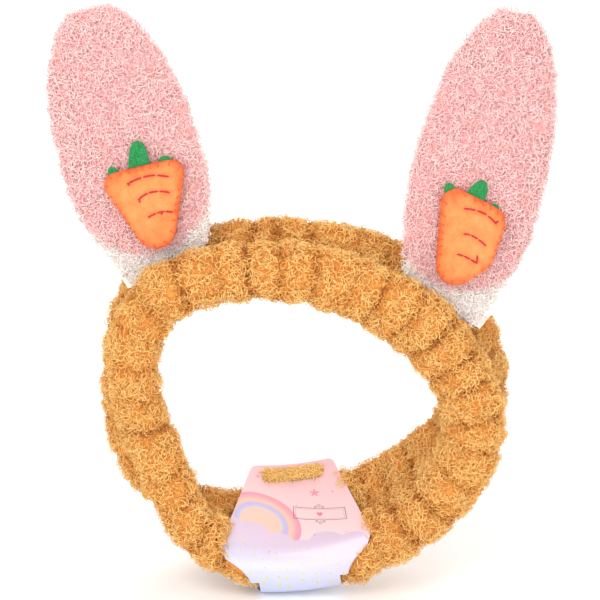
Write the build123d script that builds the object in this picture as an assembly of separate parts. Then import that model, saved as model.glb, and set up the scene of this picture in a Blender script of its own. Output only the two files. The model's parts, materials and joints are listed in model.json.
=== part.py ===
"""Plush animal-ears headband with a folded card hang tag, in millimetres.

The band is a gathered plush sleeve round a flat elastic loop. Two stuffed ears are
caught in the sleeve's outer seam, each with a stuffed carrot sewn on its front. A
die-cut card is folded round the back of the band. The origin is the centre of the
head opening, +Z points up to the ears and -Y is the front, where the carrots are.
"""

from build123d import *
import math
import os

# ---------------------------------------------------------------- band
# Control points (x, z) of the band's centre line, a closed cubic B-spline, anticlockwise from +X.
LOOP = [
    (88, 6), (71, 37), (39, 63), (-3, 76), (-48, 73), (-82, 52), (-88, 12),
    (-79, -36), (-59, -72), (-19, -79), (22, -73), (58.5, -54), (83, -26),
]
STATIONS = len(LOOP)
SECTIONS = 16               # lofted sections round the loop

SPAN_SIDE = 32.5            # between the near and far edge circles of the section, at the sides
SPAN_CHANGE = 4.0           # shorter by this at the top, longer at the bottom
EDGE_R = 14.8               # radius of the edge circles, at the sides
EDGE_R_CHANGE = 1.0
EDGE_R_SIDES = 1.6          # larger by this at the right, smaller at the left
EDGE_R_LESS = 0.4
TAG_SQUEEZE = 6.0           # the far edge is thinner by this under the tag
ROLL_MEAN = 4.0             # how far the band's width is rolled out of the Y direction, degrees
ROLL_TOP_TO_BOTTOM = 15.0
ROLL_ENDS = 11.4
ROLL_ENDS_TURN = -8.0
ROLL_LEFT = 7.0             # more high on the left, round this direction and as far as its reach
LEFT_AT = 140.0
LEFT_REACH = 45.0
ROLL_TUCK = 28.0            # less where the far edge is tucked behind the near one, low on the left
TUCK_AT = -146.0            # direction from the opening's centre, and how far it reaches either way
TUCK_REACH = 52.0

ELASTIC_W = 30.0
ELASTIC_T = 1.6
CHANNEL_GAP = 0.3           # between the elastic and its channel
THREAD_R = 0.4
SKIN_GAP = 0.05             # between a stitch and the cloth that it lies on
SEAM_STATION = 7.6          # where the sleeve's and the elastic's ends are joined
SEAM_STITCHES = 18
SEAM_LIFT = 1.15            # of the end seam's stitches, because the sleeve's surface slopes there
SEAM_STITCH = 1.9           # their length
LAP_LENGTH = 22.0           # overlap of the elastic's ends
LAP_ROOM = 3.0              # room for the stitches over the overlap
LAP_STITCH_LIFT = 0.5       # of those stitches, for the same reason as at the end seam
LAP_ROW_STEP = 0.18         # stations between the rows of stitches on the overlap
LONG_SEAM_STITCHES = 64
LONG_STITCH = 2.6
LONG_SEAM_LIFT = 0.45       # from the cloth to the stitches, because the cloth bends away under them

# ---------------------------------------------------------------- ears
EAR_LENGTH = 134.0
EAR_HALF_DEPTH = 6.9
EAR_WIDEST = 50.0           # height of the widest place
EAR_ROUNDNESS = 2.15        # exponent of the outline above it; 2 is an ellipse
BASE_NARROWING = 0.30       # how much of the width and of the depth is lost at the base
BASE_THINNING = 0.66
EAR_HEIGHTS = (-12, 4, 20, 36, 52, 76, 98, 115, 126, 131, 133.4)
WADDING_HEIGHTS = (14, 26, 38, 52, 76, 98, 115, 124, 129)
EAR_CLOTH = 1.4
WADDING_GAP = 0.1
PINK_ROUND_Z = 34.0         # centre height and radius of the front cloth's round lower end
PINK_ROUND_R = 34.0
BACK_LEAN = 12.0
HINGE_LIFT = 3.3            # hinge axis above the band's surface
HEM_R = 1.2                 # rolled hem along the hinge axis
HEM_GAP = 0.4
HEM_STITCH_DROP = 0.3        # from the rolled hem down to its stitches
HEM_SHEET = 1.0             # the hem's seam allowance, caught in the sleeve
HEM_DEPTH = 5.0
HEM_HALF_W = 23.5
HEM_STITCHES = 9
# Each ear: station on the band, slope and slant of its base, height over the pattern's, half width.
EARS = {
    "left": {"station": 4.42, "slope": 33.0, "slant": 16.5, "stretch": 0.915, "half_w": 35.6},
    "right": {"station": 1.33, "slope": -38.0, "slant": -25.0, "stretch": 1.04, "half_w": 33.8},
}

# ---------------------------------------------------------------- carrots
# Places on an ear are x across it and height above its hinge axis.
CARROT_CLOTH = 1.1
CARROT_DEPTH = 7.0          # filling and front cloth together
CARROT_ROUND = 4.5
CARROT_FRONT_Y = -16.7      # foremost face of a carrot in its ear's frame
LEAF_T = 1.2
EDGE_STITCHES = 26
EDGE_STITCH_OVER = 0.9      # how far an edge stitch reaches over the front cloth
EDGE_STITCH_SHORT = 0.4     # how far it stops before the back cloth's back face
DASH_GAP = 0.06             # left free at each end of a dash, as a share of its sewn line
# Rounds, as x, height and radius, that the carrot's outline is drawn round; leaves, as x and height of
# the middle, width, height and lean; and sewn lines, as their start, middle and end.
CARROTS = {
    "left": {
        "rounds": [(-8.0, 37.6, 6.7), (18.6, 37.1, 6.7), (5.2, 12.2, 9.0)],
        "leaves": {
            "middle": (4.5, 46.1, 10.0, 19.0, 2.0),
            "left": (-7.0, 41.6, 6.0, 12.0, 25.0),
            "right": (17.5, 41.6, 8.5, 9.0, -35.0),
        },
        "lines": [
            ((-2.0, 37.9), (9.0, 38.9), (18.5, 35.9)),
            ((1.0, 29.3), (8.8, 31.1), (16.5, 28.3)),
            ((2.4, 19.5), (9.5, 20.6), (15.0, 18.7)),
        ],
    },
    "right": {
        "rounds": [(-11.0, 44.0, 7.0), (6.5, 36.8, 9.2), (5.6, 20.5, 8.3), (-3.2, 14.2, 10.2)],
        "leaves": {
            "middle": (-1.7, 49.0, 9.5, 17.0, -14.0),
            "left": (-14.2, 48.0, 6.0, 11.0, 30.0),
            "right": (7.3, 43.5, 6.0, 8.0, -40.0),
        },
        "lines": [
            ((-7.5, 42.5), (2.3, 42.3), (10.1, 38.2)),
            ((-4.5, 30.5), (0.9, 30.2), (8.1, 26.4)),
            ((-5.5, 20.2), (0.0, 19.4), (5.1, 17.4)),
        ],
    },
}
LINE_DASHES = 3

# ---------------------------------------------------------------- hang tag
CARD = 0.5
CARD_GAP = 0.8              # between card and band
TAG_STATION = 9.38
TAG_BEND_R = 120.0          # the card follows the band round this radius
TAG_SLIDE = 4.5             # degrees that it can slide along the band, either way, with room
TAG_TOP = 35.5              # heights are measured along the front panel from the band's middle
TAG_TOP_HALF_W = 20.5
TAG_HALF_W = 38.0
TAG_NECK_HALF_W = 20.3
TAG_END = -48.0
# Heights on the front panel and the panel behind: the widest place, where the hollow side begins, the
# middle of that side, and the neck. SHOULDER and HOLLOW are the half widths that go with them.
TAG_HEIGHTS = {"front": (-20.5, -25.5, -30.8, -34.2), "behind": (-6.0, -11.0, -19.0, -29.0)}
TAG_SHOULDER = 35.5
TAG_HOLLOW = 25.5
TAG_CORNER_R = 4.0
SLOT_W = 32.0
SLOT_H = 7.5
SLOT_HUMP_R = 4.4
SLOT_MIDDLE = 27.5
FAR = 60.0                  # past every face that a cutter has to clear


def loop_point(s):
    """Point (x, z) and direction of the centre line at station s."""
    first = math.floor(s)
    t = s - first
    share = [(1 - t) ** 3 / 6, (3 * t**3 - 6 * t**2 + 4) / 6, (-3 * t**3 + 3 * t**2 + 3 * t + 1) / 6, t**3 / 6]
    slope = [-((1 - t) ** 2) / 2, (3 * t**2 - 4 * t) / 2, (-3 * t**2 + 2 * t + 1) / 2, t**2 / 2]
    near = [LOOP[(first + k - 1) % STATIONS] for k in range(4)]
    point = [sum(w * p[axis] for w, p in zip(share, near)) for axis in (0, 1)]
    direction = [sum(w * p[axis] for w, p in zip(slope, near)) for axis in (0, 1)]
    return point, direction


def share_near(angle, middle, reach):
    """1 in the direction middle (degrees), falling to 0 at reach degrees from it."""
    off = abs((math.degrees(angle) - middle + 180) % 360 - 180) / reach
    return math.cos(math.pi / 2 * min(off, 1)) ** 2


class Section:
    """The band's cross-section at one station of the loop."""

    def __init__(self, s):
        (x, z), (dx, dz) = loop_point(s)
        angle = math.atan2(z, x)
        roll = math.radians(
            ROLL_MEAN
            - ROLL_TOP_TO_BOTTOM * math.sin(angle)
            - ROLL_ENDS * math.cos(2 * (angle + math.radians(ROLL_ENDS_TURN)))
            + ROLL_LEFT * share_near(angle, LEFT_AT, LEFT_REACH)
            - ROLL_TUCK * share_near(angle, TUCK_AT, TUCK_REACH)
        )
        self.centre = Vector(x, 0, z)
        self.tangent = Vector(dx, 0, dz).normalized()
        self.inward = Vector(-dz, 0, dx).normalized()
        depth = Vector(0, 1, 0)
        self.across = depth * math.cos(roll) + self.inward * math.sin(roll)
        self.face = self.inward * math.cos(roll) - depth * math.sin(roll)
        self.span = SPAN_SIDE - SPAN_CHANGE * math.sin(angle)
        self.near_r = EDGE_R - EDGE_R_LESS + EDGE_R_CHANGE * math.sin(angle) + EDGE_R_SIDES * math.cos(angle)
        self.far_r = self.near_r - TAG_SQUEEZE * max(0.0, -math.sin(angle)) ** 4
        self.lean = math.asin((self.near_r - self.far_r) / self.span)

    def plane(self):
        """Plane of the section: x across the band, y towards the head."""
        return Plane(origin=self.centre, x_dir=self.across, z_dir=self.tangent)

    def outline(self, grow=0.0):
        return self.plane() * two_circle_face(self.span, self.near_r + grow, self.far_r + grow)

    def strip(self, grow=0.0):
        r = ELASTIC_T / 2 + grow
        return self.plane() * two_circle_face(ELASTIC_W - ELASTIC_T, r, r)


def two_circle_face(span, near_r, far_r):
    """Face round two circles on the X axis, the near one at -span/2."""
    lean = math.asin((near_r - far_r) / span)
    near_top = (-span / 2 + near_r * math.sin(lean), near_r * math.cos(lean))
    far_top = (span / 2 + far_r * math.sin(lean), far_r * math.cos(lean))
    near_low = (near_top[0], -near_top[1])
    far_low = (far_top[0], -far_top[1])
    edges = [
        Line(near_top, far_top),
        ThreePointArc(far_top, (span / 2 + far_r, 0), far_low),
        Line(far_low, near_low),
        ThreePointArc(near_low, (-span / 2 - near_r, 0), near_top),
    ]
    return make_face(edges).face()


def ellipse_face(half_w, half_d):
    arcs = [
        EllipticalCenterArc((0, 0), half_w, half_d, start_angle=k * 90, arc_size=90)
        for k in range(4)
    ]
    return make_face(arcs).face()


def loop_solid(face_at):
    """Closed ring through face_at(section), lofted in two halves that overrun and are trimmed to meet."""
    ring = None
    for half in (0, 1):
        ends = [Section(STATIONS * (half + k) / 2) for k in (0, 1)]
        steps = range(-1, SECTIONS // 2 + 2)
        faces = [face_at(Section(STATIONS * (half + k * 2 / SECTIONS) / 2)) for k in steps]
        piece = loft(faces)
        for end, side in zip(ends, (Align.MAX, Align.MIN)):
            piece -= end.plane() * Box(2 * FAR, 2 * FAR, FAR, align=(Align.CENTER, Align.CENTER, side))
        ring = piece if ring is None else ring + piece
    return ring


def rod(start, end, radius=THREAD_R):
    """One stitch: a round-ended rod between two points."""
    start, end = Vector(*start), Vector(*end)
    axis = end - start
    middle = Plane(origin=(start + end) * 0.5, z_dir=axis)
    body = Cylinder(radius, axis.length + 2 * radius)
    return middle * fillet(body.edges(), radius * 0.9)


def group(solids):
    return Compound(children=list(solids))


def make_band(parts):
    outer = loop_solid(Section.outline)
    channel = loop_solid(lambda section: section.strip(CHANNEL_GAP))
    lap = Section(SEAM_STATION)
    room = ELASTIC_T + 2 * LAP_ROOM
    pocket = lap.plane() * Box(ELASTIC_W + room, room, LAP_LENGTH + room)
    parts["band_sleeve"] = outer - channel - pocket
    parts["elastic_loop"] = loop_solid(Section.strip)

    rows = []
    lift = ELASTIC_T / 2 + THREAD_R + LAP_STITCH_LIFT
    for row in (-1, 0, 1):
        plane = Section(SEAM_STATION + row * LAP_ROW_STEP).plane()
        for side in (-lift, lift):
            for across in range(-2, 3):
                x = across * ELASTIC_W / 6
                rows.append(plane * rod((x - 1.5, side, 0), (x + 1.5, side, 0)))
    parts["elastic_join_stitches"] = group(rows)


def make_sleeve_seams(parts):
    """Stitches along the middle of the band's inner face, and round the join of the sleeve's ends."""
    clear = math.radians(2 + math.degrees(TAG_HALF_W / TAG_BEND_R) + TAG_SLIDE) * STATIONS / (2 * math.pi)
    row = []
    for k in range(LONG_SEAM_STITCHES):
        s = STATIONS * k / LONG_SEAM_STITCHES
        if abs(s - TAG_STATION) < 2 * clear or abs(s - SEAM_STATION) < 0.25:
            continue
        section = Section(s)
        middle = (section.near_r + section.far_r) / 2 / math.cos(section.lean)
        lift = middle + THREAD_R + LONG_SEAM_LIFT
        row.append(section.plane() * rod((0, lift, -LONG_STITCH / 2), (0, lift, LONG_STITCH / 2)))
    parts["sleeve_long_seam"] = group(row)

    join = Section(SEAM_STATION)
    path = two_circle_face(join.span, join.near_r + SEAM_LIFT, join.far_r + SEAM_LIFT).outer_wire()
    ring = []
    for k in range(SEAM_STITCHES):
        p = path.position_at(k / SEAM_STITCHES)
        ring.append(join.plane() * rod((p.X, p.Y, -SEAM_STITCH / 2), (p.X, p.Y, SEAM_STITCH / 2)))
    parts["sleeve_end_seam"] = group(ring)


def hinge_plane(ear):
    """Plane at the middle of an ear's sewn base: x along the hinge axis, z along the standing ear."""
    section = Section(ear["station"])
    slope = math.radians(ear["slope"])
    lean = math.radians(BACK_LEAN)
    along = Vector(math.cos(slope), 0, math.sin(slope))
    upright = Vector(-math.sin(slope), 0, math.cos(slope))
    surface = section.near_r * math.cos(section.lean)
    origin = section.centre - section.face * surface + upright * HINGE_LIFT
    return Plane(origin=origin, x_dir=along, z_dir=upright * math.cos(lean) + Vector(0, 1, 0) * math.sin(lean))


def ear_plane(ear):
    """The ear's own plane: z from the middle of its base to its tip, -y to the front."""
    return hinge_plane(ear) * Rot(0, ear["slant"], 0)


def ear_section(ear, height, inset):
    """Ellipse across an ear at one height of the pattern."""
    if height > EAR_WIDEST:
        rise = (height - EAR_WIDEST) / (EAR_LENGTH - EAR_WIDEST)
        width = depth = (1 - rise**EAR_ROUNDNESS) ** (1 / EAR_ROUNDNESS)
    else:
        fall = ((EAR_WIDEST - height) / EAR_WIDEST) ** 2
        width = 1 - BASE_NARROWING * fall
        depth = max(1 - BASE_THINNING * fall, 1 - BASE_THINNING)
    return ellipse_face(ear["half_w"] * width - inset, EAR_HALF_DEPTH * depth - inset)


def ear_solid(ear, heights, inset=0.0):
    """A stuffed ear lofted through level sections, in its own frame, with its slanted base cut off."""
    body = loft([Pos(0, 0, height * ear["stretch"]) * ear_section(ear, height, inset) for height in heights])
    below = Box(3 * FAR, 2 * FAR, FAR, align=(Align.CENTER, Align.CENTER, Align.MAX))
    return body - Rot(0, -ear["slant"], 0) * below


def make_ear(parts, side, ear):
    wadding = ear_solid(ear, WADDING_HEIGHTS, EAR_CLOTH + WADDING_GAP)
    cloth = ear_solid(ear, EAR_HEIGHTS) - ear_solid(ear, WADDING_HEIGHTS, EAR_CLOTH)
    tall = 2 * FAR
    front_half = Pos(0, -FAR, tall / 2) * Box(tall, 2 * FAR, 2 * tall)
    pink = Pos(0, 0, PINK_ROUND_Z) * Rot(90, 0, 0) * Cylinder(PINK_ROUND_R, 2 * FAR)
    pink += Pos(0, 0, PINK_ROUND_Z + tall) * Box(tall, 2 * FAR, 2 * tall)
    front = cloth & front_half & pink

    hinge = Rot(0, -ear["slant"], 0)
    groove = hinge * Rot(0, 90, 0) * Cylinder(HEM_R + HEM_GAP, 2 * FAR)
    place = ear_plane(ear)
    parts[f"{side}_ear_front"] = place * (front - groove)
    parts[f"{side}_ear_back"] = place * (cloth - front - groove)
    parts[f"{side}_ear_wadding"] = place * wadding


def make_hem(parts, side, ear):
    """The ear's rolled hem on the hinge axis, its seam allowance caught in the sleeve, and its stitches."""
    hinge = hinge_plane(ear)
    depth = HINGE_LIFT + HEM_DEPTH

    def allowance(grow):
        size = (2 * (HEM_HALF_W + grow), HEM_SHEET + 2 * grow, depth + grow)
        return hinge * Box(*size, align=(Align.CENTER, Align.CENTER, Align.MAX))

    roll = hinge * Rot(0, 90, 0) * Cylinder(HEM_R, 2 * HEM_HALF_W)
    parts[f"{side}_ear_base_hem"] = roll + allowance(0)
    parts["band_sleeve"] -= allowance(SKIN_GAP)

    row = []
    y = HEM_SHEET / 2 + THREAD_R + SKIN_GAP
    z = -HEM_R - THREAD_R - HEM_STITCH_DROP
    pitch = 2 * HEM_HALF_W / HEM_STITCHES
    for k in range(HEM_STITCHES):
        x = (k - (HEM_STITCHES - 1) / 2) * pitch
        for front_or_back in (-y, y):
            row.append(hinge * rod((x - 1.5, front_or_back, z), (x + 1.5, front_or_back, z), THREAD_R * 0.8))
    parts[f"{side}_ear_base_stitches"] = group(row)


def carrot_face(side, inset=0.0):
    """A carrot's outline round its rounds, in the XY plane, smaller all round by inset."""
    circles = [Pos(x, y) * Circle(radius - inset) for x, y, radius in CARROTS[side]["rounds"]]
    return make_hull([edge for circle in circles for edge in circle.edges()]).face()


def carrot_cushion(side, inset=0.0):
    """The domed front of a carrot, from its back plane at z = 0 forwards."""
    body = extrude(carrot_face(side, inset), CARROT_DEPTH - inset)
    rim = body.faces().sort_by(Axis.Z)[-1].edges()
    return fillet(rim, CARROT_ROUND - inset / 2)


def make_carrot(parts, side, ear):
    # Carrot frame: x to the right, y up the ear, z forwards from the carrot's foremost face.
    front = Plane(origin=(0, CARROT_FRONT_Y, 0), x_dir=(1, 0, 0), z_dir=(0, -1, 0))
    place = ear_plane(ear) * front.location
    back_z = -CARROT_DEPTH
    name = f"{side}_carrot"

    cloth = carrot_cushion(side) - carrot_cushion(side, CARROT_CLOTH)
    parts[f"{name}_front"] = place * Pos(0, 0, back_z) * cloth
    parts[f"{name}_filling"] = place * Pos(0, 0, back_z) * carrot_cushion(side, CARROT_CLOTH + WADDING_GAP)
    parts[f"{name}_back"] = place * Pos(0, 0, back_z) * extrude(carrot_face(side), -CARROT_CLOTH)

    leaf_z = back_z - CARROT_CLOTH - WADDING_GAP - LEAF_T
    for leaf, (x, y, width, height, lean) in CARROTS[side]["leaves"].items():
        shape = extrude(Ellipse(width / 2, height / 2), LEAF_T)
        parts[f"{name}_leaf_{leaf}"] = place * Pos(x, y, leaf_z) * Rot(0, 0, lean) * shape

    lift = THREAD_R + SKIN_GAP
    dashes = []
    for start, middle, end in CARROTS[side]["lines"]:
        line = ThreePointArc(start, middle, end)
        for k in range(LINE_DASHES):
            p = line.position_at(k / LINE_DASHES + DASH_GAP)
            q = line.position_at((k + 1) / LINE_DASHES - DASH_GAP)
            dashes.append(place * rod((p.X, p.Y, lift), (q.X, q.Y, lift)))
    parts[f"{name}_line_stitches"] = group(dashes)

    rim = carrot_face(side, -THREAD_R - SKIN_GAP).outer_wire()
    upper = back_z + EDGE_STITCH_OVER
    lower = back_z - CARROT_CLOTH + EDGE_STITCH_SHORT
    ring = []
    for k in range(EDGE_STITCHES):
        p = rim.position_at(k / EDGE_STITCHES)
        ring.append(place * rod((p.X, p.Y, upper), (p.X, p.Y, lower), THREAD_R * 0.8))
    parts[f"{name}_edge_stitches"] = group(ring)


def tag_profile(section):
    """Card folded round the band: a closed wrap and the doubled margin above it, in the section's plane."""
    near, far = section.near_r + CARD_GAP, section.far_r + CARD_GAP
    wrap = two_circle_face(section.span, near + CARD, far + CARD) - two_circle_face(section.span, near, far)
    lean = section.lean
    outer = far + CARD
    foot = (section.span / 2 + outer * math.sin(lean), outer * math.cos(lean))
    margin = Rectangle(FAR / 2, 2 * CARD, align=(Align.MIN, Align.MAX))
    return wrap + Pos(*foot) * Rot(0, 0, -math.degrees(lean)) * margin


def tag_outline(panel):
    """Die-cut outline of one panel: a hexagon with hollow sides that narrow to the neck at the fold."""
    wide, shoulder, hollow, neck = TAG_HEIGHTS[panel]
    corners = [(0, TAG_TOP), (TAG_TOP_HALF_W, TAG_TOP), (TAG_HALF_W, wide), (TAG_SHOULDER, shoulder)]
    side = ThreePointArc(corners[-1], (TAG_HOLLOW, hollow), (TAG_NECK_HALF_W, neck))
    lower = Polyline((TAG_NECK_HALF_W, neck), (TAG_NECK_HALF_W, TAG_END), (0, TAG_END), (0, TAG_TOP))
    half = make_face([*Polyline(*corners).edges(), *side.edges(), *lower.edges()]).face()
    half = fillet(half.vertices().filter_by(lambda v: v.X > 1 and v.Y > wide - 1), TAG_CORNER_R)
    slot = Pos(0, SLOT_MIDDLE) * SlotOverall(SLOT_W, SLOT_H)
    hump = Pos(0, SLOT_MIDDLE + SLOT_HUMP_R / 4) * Circle(SLOT_HUMP_R)
    return half + mirror(half, Plane.YZ) - slot - hump


def make_tag(parts):
    section = Section(TAG_STATION)
    bend = Axis(section.centre + section.inward * TAG_BEND_R, (0, 1, 0))
    reach = math.degrees(math.asin(TAG_HALF_W / (TAG_BEND_R - section.near_r - CARD_GAP)))

    def turned(face, half):
        return revolve(face.rotate(bend, -half), axis=bend, revolution_arc=2 * half)

    sheet = turned(section.plane() * tag_profile(section), reach + 2)
    outward = section.face * math.cos(section.lean) + section.across * math.sin(section.lean)
    cutter = Plane(origin=section.centre, x_dir=section.tangent, z_dir=outward)
    front = cutter * extrude(tag_outline("front"), FAR)
    behind = cutter * extrude(tag_outline("behind"), -FAR)
    parts["hang_tag"] = sheet & (front + behind)

    # The card squeezes the plush flat over the stretch that it covers and can slide along.
    covered = reach + TAG_SLIDE
    around = section.plane() * Circle(FAR)
    squeezed = turned(around - section.outline(), covered)
    parts["band_sleeve"] -= squeezed


def build():
    parts = {}
    make_band(parts)
    make_sleeve_seams(parts)
    for side, ear in EARS.items():
        make_ear(parts, side, ear)
        make_hem(parts, side, ear)
        make_carrot(parts, side, ear)
    make_tag(parts)
    return parts


if __name__ == "__main__":
    os.makedirs("parts", exist_ok=True)
    for name, shape in build().items():
        export_step(shape, f"parts/{name}.step")
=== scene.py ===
"""Looks of the plush animal-ears headband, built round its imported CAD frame.

Lengths are in millimetres until a mesh is made, which is in metres. The band, the ears, the carrots and
the card repeat the CAD design's formulas, and the ears' places come from the joints in the frame.
"""

import bpy
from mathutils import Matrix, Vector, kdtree
import json
import math
import numpy as np


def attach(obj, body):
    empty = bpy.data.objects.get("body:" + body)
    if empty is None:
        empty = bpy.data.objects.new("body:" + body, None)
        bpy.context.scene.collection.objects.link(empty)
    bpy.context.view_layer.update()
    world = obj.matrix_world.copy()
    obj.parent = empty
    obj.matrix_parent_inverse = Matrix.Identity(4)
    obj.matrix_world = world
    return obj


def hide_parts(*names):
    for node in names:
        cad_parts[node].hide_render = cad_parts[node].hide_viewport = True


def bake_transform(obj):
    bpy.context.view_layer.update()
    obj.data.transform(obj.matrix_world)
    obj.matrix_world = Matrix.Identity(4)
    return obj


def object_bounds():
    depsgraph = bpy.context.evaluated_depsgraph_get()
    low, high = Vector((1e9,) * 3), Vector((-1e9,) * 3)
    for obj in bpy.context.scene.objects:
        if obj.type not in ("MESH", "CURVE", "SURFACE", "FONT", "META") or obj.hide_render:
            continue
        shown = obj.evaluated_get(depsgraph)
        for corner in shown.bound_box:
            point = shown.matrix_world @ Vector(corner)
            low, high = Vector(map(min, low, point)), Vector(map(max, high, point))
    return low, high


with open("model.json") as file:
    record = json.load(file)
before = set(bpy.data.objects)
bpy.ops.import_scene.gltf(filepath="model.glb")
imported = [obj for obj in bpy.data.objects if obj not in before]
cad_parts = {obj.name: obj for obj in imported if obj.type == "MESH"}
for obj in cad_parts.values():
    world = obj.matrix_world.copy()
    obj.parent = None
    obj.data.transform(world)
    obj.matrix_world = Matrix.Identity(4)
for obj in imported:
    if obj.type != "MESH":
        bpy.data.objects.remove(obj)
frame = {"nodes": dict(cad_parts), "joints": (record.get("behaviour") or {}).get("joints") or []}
cad_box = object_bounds()
MM = 0.001
JOINTS = {joint["name"]: joint for joint in frame["joints"]}
SEED = 438


# ---------------------------------------------------------------- small helpers
def unit(v):
    return v / np.maximum(np.linalg.norm(v, axis=-1, keepdims=True), 1e-9)


def smooth(x):
    x = np.clip(x, 0, 1)
    return x * x * (3 - 2 * x)


def bump_at(x, middle, half):
    """1 at middle, falling smoothly to 0 at half on either side."""
    return smooth(1 - np.abs(x - middle) / half)


def waves(u, v, wavelength, seed, count=14):
    """Smooth noise, about -1 to 1, from waves of one size in random directions across (u, v)."""
    rng = np.random.default_rng(seed)
    total = 0
    for _ in range(count):
        turn = rng.uniform(0, math.tau)
        size = wavelength * rng.uniform(0.7, 1.4)
        phase = rng.uniform(0, math.tau)
        total = total + np.sin(math.tau * (u * math.cos(turn) + v * math.sin(turn)) / size + phase)
    return total * math.sqrt(2 / count) / 2


def link(name, data):
    """New object with its mesh, light or camera, in the scene."""
    piece = bpy.data.objects.new(name, data)
    bpy.context.scene.collection.objects.link(piece)
    return piece


def mesh_piece(name, points, faces, corner_uv, material):
    """Object from points in millimetres, arrays of faces with one size each, and a UV for each corner."""
    mesh = bpy.data.meshes.new(name)
    points = np.asarray(points, np.float64).reshape(-1, 3) * MM
    sizes = np.concatenate([np.full(len(group), group.shape[1]) for group in faces])
    corners = np.concatenate([group.reshape(-1) for group in faces])
    mesh.vertices.add(len(points))
    mesh.vertices.foreach_set("co", points.astype(np.float32).reshape(-1))
    mesh.loops.add(len(corners))
    mesh.loops.foreach_set("vertex_index", corners.astype(np.int32))
    mesh.polygons.add(len(sizes))
    mesh.polygons.foreach_set("loop_start", np.concatenate([[0], np.cumsum(sizes)[:-1]]).astype(np.int32))
    mesh.update(calc_edges=True)
    mesh.polygons.foreach_set("use_smooth", np.ones(len(sizes), bool))
    layout = mesh.uv_layers.new(name="OFBake")
    layout.data.foreach_set("uv", np.asarray(corner_uv, np.float32).reshape(-1))
    mesh.materials.append(material)
    return link(name, mesh)


def set_value(piece, name, values):
    """A number at each vertex, for the materials."""
    layer = piece.data.attributes.new(name, "FLOAT", "POINT")
    layer.data.foreach_set("value", np.asarray(values, np.float32))


def grid_faces(rows, columns, wrap_rows=False):
    """Quads of a grid of points whose rows are closed, row by row."""
    r = np.arange(rows if wrap_rows else rows - 1)[:, None]
    c = np.arange(columns)[None, :]
    r2, c2 = (r + 1) % rows, (c + 1) % columns
    quads = [r * columns + c, r * columns + c2, r2 * columns + c2, r2 * columns + c]
    return np.stack(np.broadcast_arrays(*quads), -1).reshape(-1, 4)


def grid_uv(rows, columns, wrap_rows=False):
    """A UV for each corner of the quads from grid_faces, over the whole square."""
    r = np.arange(rows if wrap_rows else rows - 1)[:, None]
    c = np.arange(columns)[None, :]
    u = np.stack(np.broadcast_arrays(r, r, r + 1, r + 1 + 0 * c), -1) / rows
    v = np.stack(np.broadcast_arrays(c, c + 1, c + 1, c + 0 * r), -1) / columns
    return np.stack(np.broadcast_arrays(u, v), -1).reshape(-1, 4, 2)


def round_grid(points, middle, wrap_rows=False):
    """For a grid of points that closes round middle: outward normals, quads facing outwards and their UVs."""
    around = np.roll(points, -1, 1) - np.roll(points, 1, 1)
    along = np.roll(points, -1, 0) - np.roll(points, 1, 0) if wrap_rows else np.gradient(points, axis=0)
    normals = unit(np.cross(around, along))
    turn = 1 if ((points - middle) * normals).sum() < 0 else -1
    size = points.shape[:2]
    return -normals * turn, grid_faces(*size, wrap_rows)[:, ::turn], grid_uv(*size, wrap_rows)[:, ::turn]


def capped_piece(name, points, material):
    """Object from a grid of points (rows, round, 3), closed by a cap at its first and last row."""
    rows, columns = points.shape[:2]
    caps = np.stack([np.arange(columns)[::-1], (rows - 1) * columns + np.arange(columns)])
    layout = np.concatenate([grid_uv(rows, columns).reshape(-1, 2), np.full((2 * columns, 2), 0.999)])
    return mesh_piece(name, points, [grid_faces(rows, columns), caps], layout, material)


def settle(piece, body, slot, *nodes):
    """The piece moves with a body and stands for CAD nodes, which it hides. Its slot is not used."""
    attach(piece, body)
    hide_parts(*nodes)


# ---------------------------------------------------------------- materials
def linear(colour):
    """Linear colour from red, green and blue of 0 to 255."""
    c = np.array(colour, float) / 255
    return tuple(np.where(c <= 0.04045, c / 12.92, ((c + 0.055) / 1.055) ** 2.4)) + (1.0,)


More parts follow.
